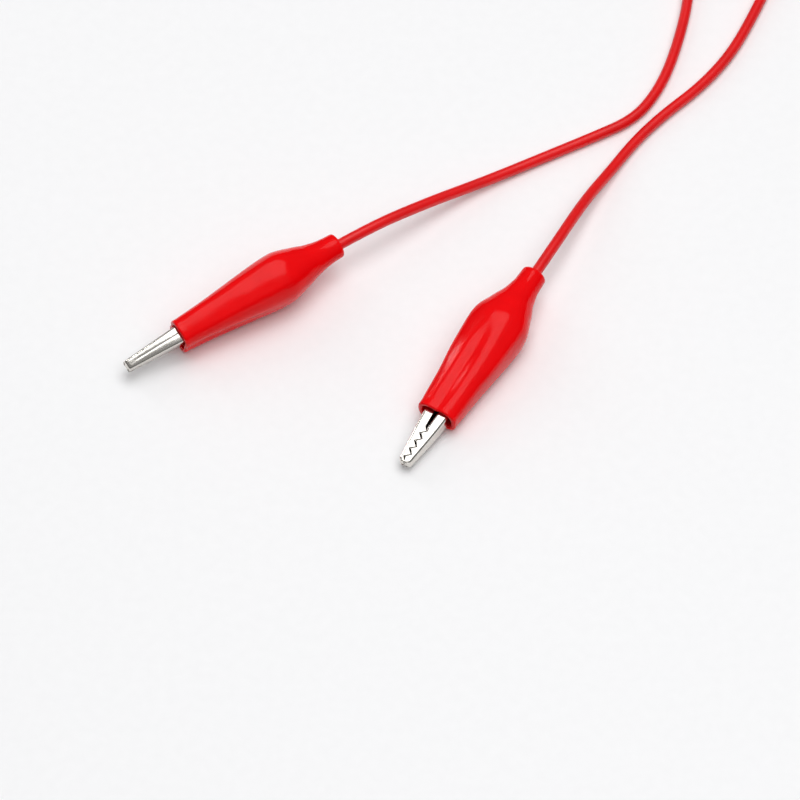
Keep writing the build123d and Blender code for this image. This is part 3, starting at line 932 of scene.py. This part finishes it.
for clip in CLIPS:
    to_frame = CLIP_MATRIX[clip]
    jaw_body = f"{clip}_jaw"
    seed = CLIPS.index(clip) * 3.7

    tail = jaw_mesh(f"{clip}_tail_channel", -1)
    tail.data.transform(to_frame)
    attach(tail, "lead")
    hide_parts(f"{clip}_tail_jaw")

    moving = jaw_mesh(f"{clip}_moving_channel", 1)
    moving.data.transform(to_frame)
    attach(moving, jaw_body)
    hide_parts(f"{clip}_moving_jaw")

    spring = strand_piece(
        f"{clip}_spring_winding",
        spring_path(),
        SPRING_STEEL,
        **{"Strands": 1, "Strand Radius": SPRING_WIRE_RADIUS, "Lay Radius": 0.0, "Lay Turns": 0.0},
    )
    spring.data.transform(to_frame)
    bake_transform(spring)
    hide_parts(f"{clip}_torsion_spring")

    strands = strand_piece(
        f"{clip}_copper_strands",
        conductor_path(),
        TINNED_COPPER,
        **{
            "Strands": STRANDS,
            "Strand Radius": STRAND_RADIUS,
            "Lay Radius": CONDUCTOR_RADIUS - STRAND_RADIUS,
            "Lay Turns": (INSULATION_REACH - CONDUCTOR_REACH) / STRAND_LAY,
        },
    )
    strands.data.transform(to_frame)
    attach(strands, "lead")
    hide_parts(f"{clip}_bare_conductor")

    boot = boot_mesh(f"{clip}_boot_sleeve", seed)
    boot.data.transform(to_frame)
    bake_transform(boot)
    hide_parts(f"{clip}_boot")

    for node, finish, slot in (
        ("pivot_rivet", RIVET_STEEL, "rivet_steel"),
        ("solder_joint", SOLDER, "solder"),
    ):
        kept = frame["nodes"][f"{clip}_{node}"]
        kept.data.materials.clear()
        kept.data.materials.append(finish)

# ---------------------------------------------------------------- wire

low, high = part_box("wire_coil")
coil_centre = (low + high) / 2 / MM
coil_mean_radius = (high.x - low.x) / 2 / MM - 2 * WIRE_RADIUS
coil_low_z = low.z / MM + WIRE_RADIUS
coil_high_z = high.z / MM - WIRE_RADIUS


def coil_turns():
    """Turns of the coil: outer below, inner below, inner above, outer above."""
    inner = coil_mean_radius - WIRE_RADIUS
    outer = coil_mean_radius + WIRE_RADIUS
    low_turns = [(0, outer), (300, outer), (360, inner)]
    high_turns = [(900, inner), (960, outer), (1400, outer)]
    radius_at = through(low_turns + high_turns)
    height_at = through([(0, coil_low_z), (600, coil_low_z), (660, coil_high_z), (1400, coil_high_z)])
    # A spline drawn towards its points lies this much inside their circle
    step = 360 / COIL_POINTS_PER_TURN
    swell = 1 / (0.75 + 0.25 * cos(radians(step)))
    count = round((COIL_END_DEGREES - COIL_START_DEGREES) / step)
    points = []
    for i in range(count + 1):
        wound = (COIL_END_DEGREES - COIL_START_DEGREES) * i / count
        bearing = radians(COIL_START_DEGREES + wound)
        radius = radius_at(wound) * swell
        x = coil_centre.x + radius * cos(bearing)
        y = coil_centre.y + radius * sin(bearing)
        points.append((x, y, height_at(wound)))
    return points


def clip_end(clip):
    """Where the wire starts in a clip's barrel, and where it still runs straight past the neck."""
    neck_end_x = MOUTH_X - BOOT_LENGTH
    to_frame = CLIP_MATRIX[clip]
    inside = to_frame @ Vector((-INSULATION_REACH, 0, 0))
    past_neck = to_frame @ Vector((neck_end_x - STRAIGHT_PAST_NECK, 0, 0))
    return [tuple(inside / MM), tuple(past_neck / MM)]


route = clip_end("front") + FRONT_ROUTE + coil_turns() + LEFT_ROUTE[::-1] + clip_end("left")[::-1]
curve = bpy.data.curves.new("red_wire", "CURVE")
curve.dimensions = "3D"
line = curve.splines.new("NURBS")
line.points.add(len(route) - 1)
for point, place in zip(line.points, route):
    point.co = (*(Vector(place) * MM), 1.0)
line.order_u = 3
line.use_endpoint_u = True
line.resolution_u = 8
curve.bevel_depth = WIRE_RADIUS * MM
curve.bevel_resolution = 5
curve.use_fill_caps = True
curve.materials.append(WIRE_RED)
wire = bpy.data.objects.new("red_wire", curve)
bpy.context.scene.collection.objects.link(wire)
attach(wire, "lead")
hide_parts("front_wire", "left_wire", "wire_coil")

# ---------------------------------------------------------------- strap round the coil


def strap_mesh(name):
    """Flat strap round the coil's section, whose end lies over its start on the outer side."""
    tie_low, tie_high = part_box("coil_tie")
    middle = (tie_low + tie_high) / 2 / MM
    bearing = Vector((middle.x - coil_centre.x, middle.y - coil_centre.y, 0)).normalized()
    along = bearing.cross(Vector((0, 0, 1)))
    ring_middle = Vector((coil_centre.x, coil_centre.y, middle.z)) + bearing * coil_mean_radius
    half_across = 2 * WIRE_RADIUS + 0.04
    half_up = (coil_high_z - coil_low_z) / 2 + WIRE_RADIUS + 0.02
    corner = 0.75
    outline = []
    quarters = [(1, -1), (1, 1), (-1, 1), (-1, -1), (1, -1), (1, 1)]
    for number, (across_way, up_way) in enumerate(quarters):
        for turn in range(75 if number == 0 else 0, 91, 15):
            angle = radians(90 * number - 90 + turn)
            laid_over = TIE_LAP * max(0.0, min(1.0, number - 4 + turn / 90))
            reach = corner + laid_over
            across = across_way * (half_across - corner) + reach * cos(angle)
            up = up_way * (half_up - corner) + reach * sin(angle)
            outline.append((across, up, angle))
    corners, uvs, columns = [], [], []
    travelled = 0.0
    for i, (across, up, angle) in enumerate(outline):
        if i:
            travelled += sqrt((across - outline[i - 1][0]) ** 2 + (up - outline[i - 1][1]) ** 2)
        column = []
        for layer, ways in ((0.0, (-1, 0, 1)), (TIE_THICKNESS, (1, 0, -1))):
            for way in ways:
                out = bearing * (across + layer * cos(angle)) + Vector((0, 0, up + layer * sin(angle)))
                corners.append((ring_middle + out + along * way * TIE_WIDTH / 2) * MM)
                uvs.append((travelled / 10, (way + layer) / 10))
                column.append(len(corners) - 1)
        columns.append(column + column[:1])
    faces = quads(columns) + [tuple(columns[0][-2::-1]), tuple(columns[-1][:-1])]
    piece = mesh_object(name, corners, faces, uvs, STRAP_BLACK)
    edges = piece.modifiers.new("edges", "BEVEL")
    edges.width = 0.08 * MM
    edges.segments = 2
    edges.limit_method = "ANGLE"
    edges.angle_limit = radians(50)
    made_plain(piece)
    piece.data.shade_smooth()
    piece.data.set_sharp_from_angle(angle=radians(40))
    return piece


strap = strap_mesh("strap")
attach(strap, "lead")
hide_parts("coil_tie")

# ---------------------------------------------------------------- table, camera and light

bpy.ops.mesh.primitive_plane_add(size=6.0, location=(0, 0, -0.00005))
table = bpy.context.object
table.name = "table"
table.data.materials.append(white_table())

# The camera looks down at the lead from this elevation, distance and point on the table
ELEVATION = 55.0
CAMERA_DISTANCE = 800.0
AIM = Vector((11.57, -7.66, 0.0))
camera_data = bpy.data.cameras.new("camera")
camera_data.sensor_width = 36.0
camera_data.lens = 203.4
camera_data.clip_start = 0.01
camera = bpy.data.objects.new("camera", camera_data)
back = Vector((0, -cos(radians(ELEVATION)), sin(radians(ELEVATION))))
camera.location = (AIM + back * CAMERA_DISTANCE) * MM
camera.rotation_euler = (radians(90 - ELEVATION), 0, 0)
bpy.context.scene.collection.objects.link(camera)
bpy.context.scene.camera = camera


def soft_light(name, direction, distance, size, power, long_way):
    """Flat light panel that faces the middle of the lead, with its long side turned towards long_way."""
    data = bpy.data.lights.new(name, "AREA")
    data.shape = "RECTANGLE"
    data.size, data.size_y = size
    data.energy = power
    light = bpy.data.objects.new(name, data)
    facing = Vector(direction).normalized()
    light.location = AIM * MM + facing * distance
    up = Vector(long_way)
    up = (up - facing * up.dot(facing)).normalized()
    across = up.cross(facing)
    light.rotation_euler = Matrix((across, up, facing)).transposed().to_euler()
    bpy.context.scene.collection.objects.link(light)
    return light


soft_light("overhead_softbox", (0.08, 0.2, 0.95), 1.0, (0.6, 0.7), 3.2, (0.0, 1.0, 0.0))
soft_light("back_left_strip", (-0.6, 0.6, 0.5), 0.8, (0.05, 0.6), 0.9, (0.0, 0.0, 1.0))
# The wide panel lights the table but would dull the reds if they mirrored it
wide_panel = soft_light("wide_panel", (0.2, -0.2, 0.95), 1.2, (1.1, 1.1), 8.4, (1.0, 0.0, 0.0))
wide_panel.visible_glossy = False

world = bpy.data.worlds.new("studio")
world.use_nodes = True
world.node_tree.nodes.clear()
heading = add(world.node_tree, "ShaderNodeTexCoord").outputs["Generated"]
up_axis = add(world.node_tree, "ShaderNodeSeparateXYZ", {0: heading})
fade = add(world.node_tree, "ShaderNodeValToRGB", {"Fac": up_axis.outputs["Z"]})
fade.color_ramp.elements[0].position = 0.0
fade.color_ramp.elements[0].color = (0.03, 0.03, 0.03, 1)
fade.color_ramp.elements[1].position = 0.7
fade.color_ramp.elements[1].color = (1, 1, 1, 1)
glow = add(world.node_tree, "ShaderNodeBackground", {"Color": fade.outputs["Color"], "Strength": 0.3})
add(world.node_tree, "ShaderNodeOutputWorld", {"Surface": glow.outputs["Background"]})
bpy.context.scene.world = world
bpy.context.scene.view_settings.view_transform = "Standard"
